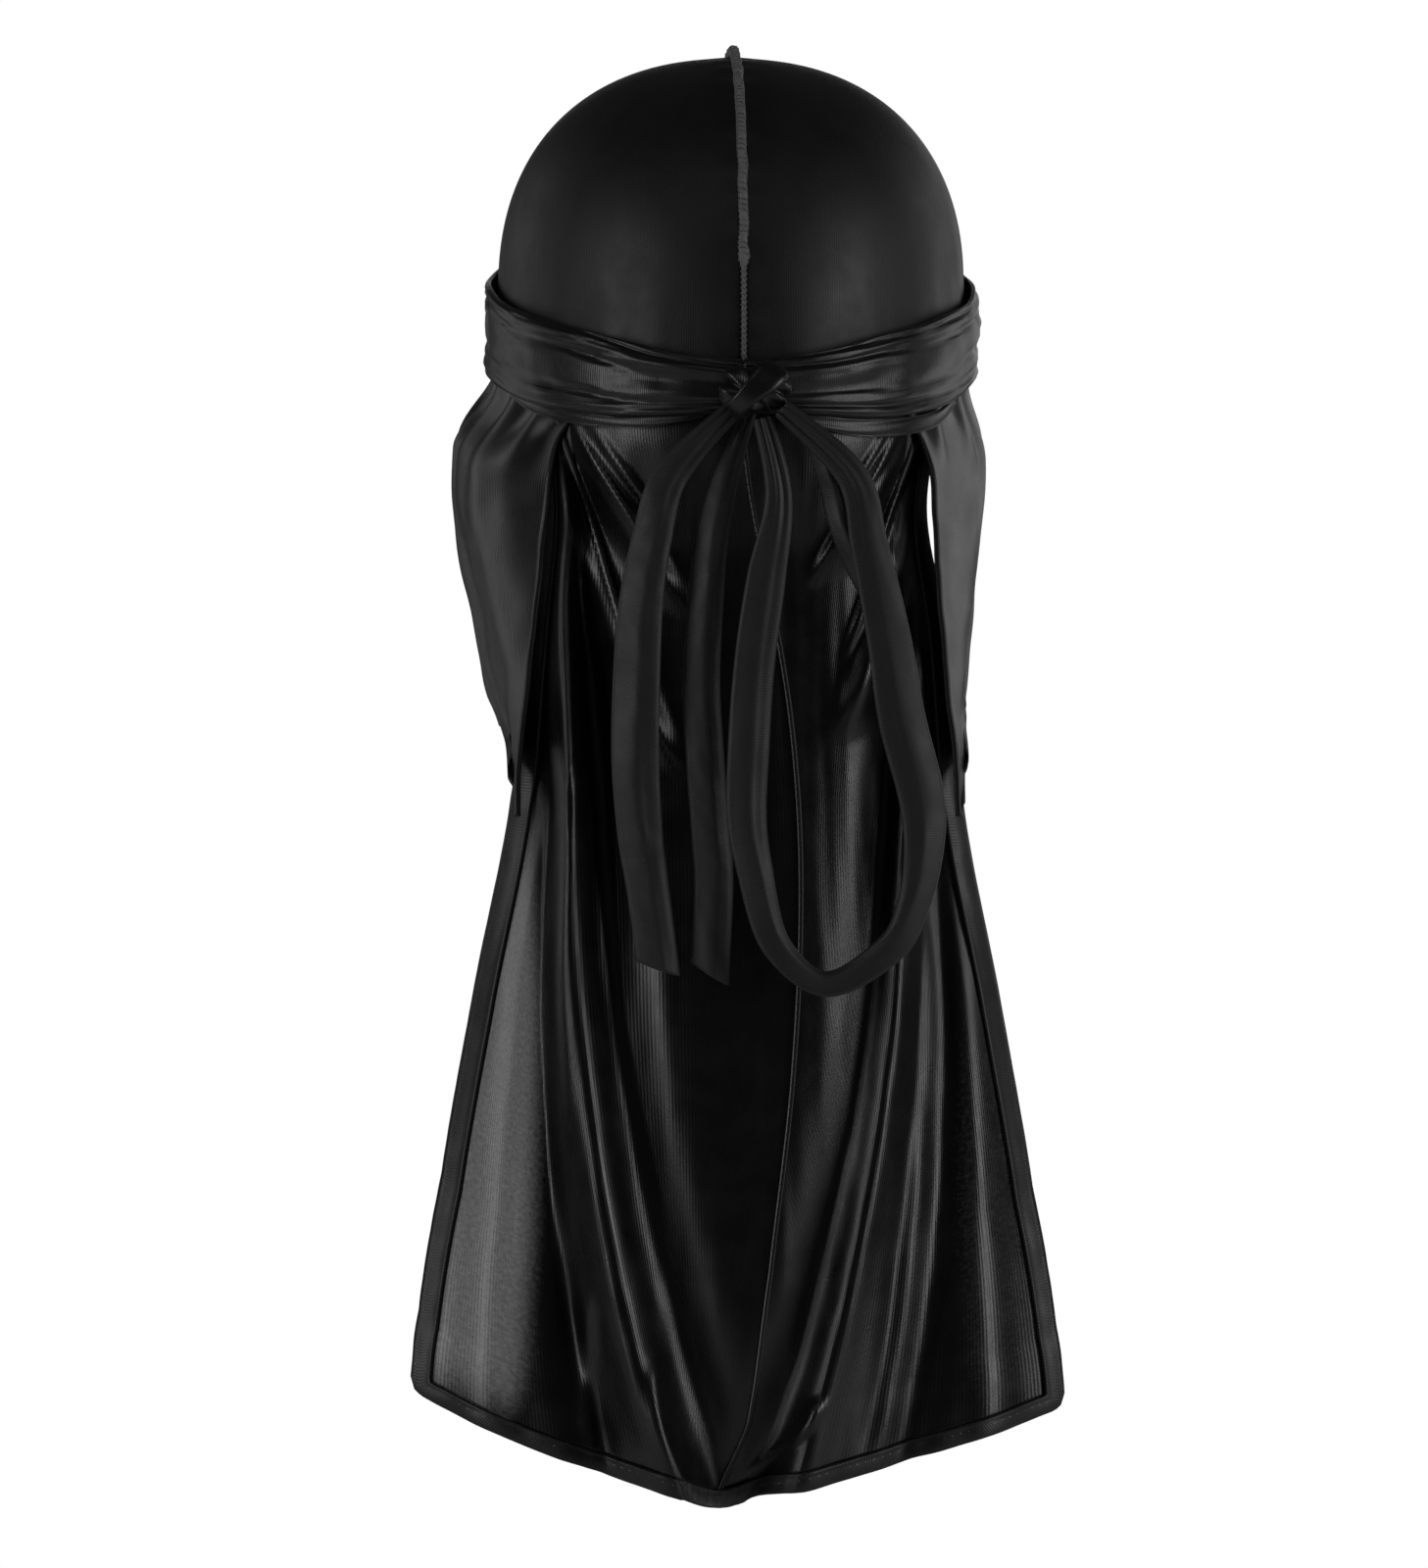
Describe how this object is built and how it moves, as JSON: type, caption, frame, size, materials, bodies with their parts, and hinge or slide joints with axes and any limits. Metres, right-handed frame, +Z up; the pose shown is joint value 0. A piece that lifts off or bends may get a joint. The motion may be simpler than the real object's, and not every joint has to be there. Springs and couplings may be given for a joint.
{
  "type": "durag",
  "caption": "Black satin durag as worn: a domed crown with a raised centre seam, a tie wound round the head and tied at the back in a half bow, and a long flared sheer cape.",
  "frame": {"origin": "inside of the crown's top, on the centre line, where the durag sits on the head", "axes": "+Z up, +X to the wearer's left, -Y towards the forehead and +Y towards the back, where the knot, the bow and the cape are"},
  "size_m": [0.226, 0.2217, 0.5065],
  "materials": {
    "crown_satin": "satin",
    "tie_satin": "satin",
    "cape_satin": "sheer satin",
    "seam_thread": "matte"
  },
  "bodies": {
    "root": {"crown_left": "crown_satin", "crown_right": "crown_satin", "crown_seam": "seam_thread", "tie_band": "tie_satin", "tie_knot": "tie_satin", "tie_loop": "tie_satin", "tie_tail_outer": "tie_satin", "tie_tail_inner": "tie_satin", "tie_wing_left": "cape_satin", "tie_wing_right": "cape_satin", "cape_left": "cape_satin", "cape_right": "cape_satin", "cape_hem": "cape_satin", "cape_seam": "seam_thread"}
  },
  "joints": []
}
